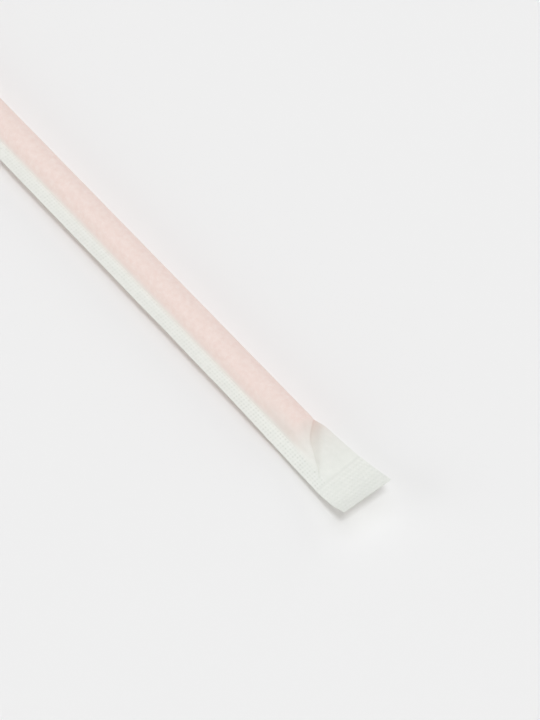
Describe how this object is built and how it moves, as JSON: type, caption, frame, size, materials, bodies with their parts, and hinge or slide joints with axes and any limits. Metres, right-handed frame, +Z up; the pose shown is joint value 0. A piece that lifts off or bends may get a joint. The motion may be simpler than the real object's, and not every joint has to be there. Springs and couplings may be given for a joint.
{
  "type": "wrapped drinking straw",
  "caption": "Plastic drinking straw sealed in a thin translucent paper sleeve with one long fin seal and a flat crimped seal at each end.",
  "frame": {"origin": "on the floor, under the middle of the whole pack's bounding box", "axes": "+X along the straw, +Z up, and the long seal runs down the -Y side"},
  "size_m": [0.249, 0.0132, 0.0073],
  "materials": {
    "straw": "plain extruded polypropylene, coral red, thin wall",
    "paper_wrapper": "thin translucent white tissue paper, cloudy, dot crimped along its seals"
  },
  "bodies": {
    "root": {"straw": "straw", "paper_wrapper": "paper_wrapper"}
  },
  "joints": []
}
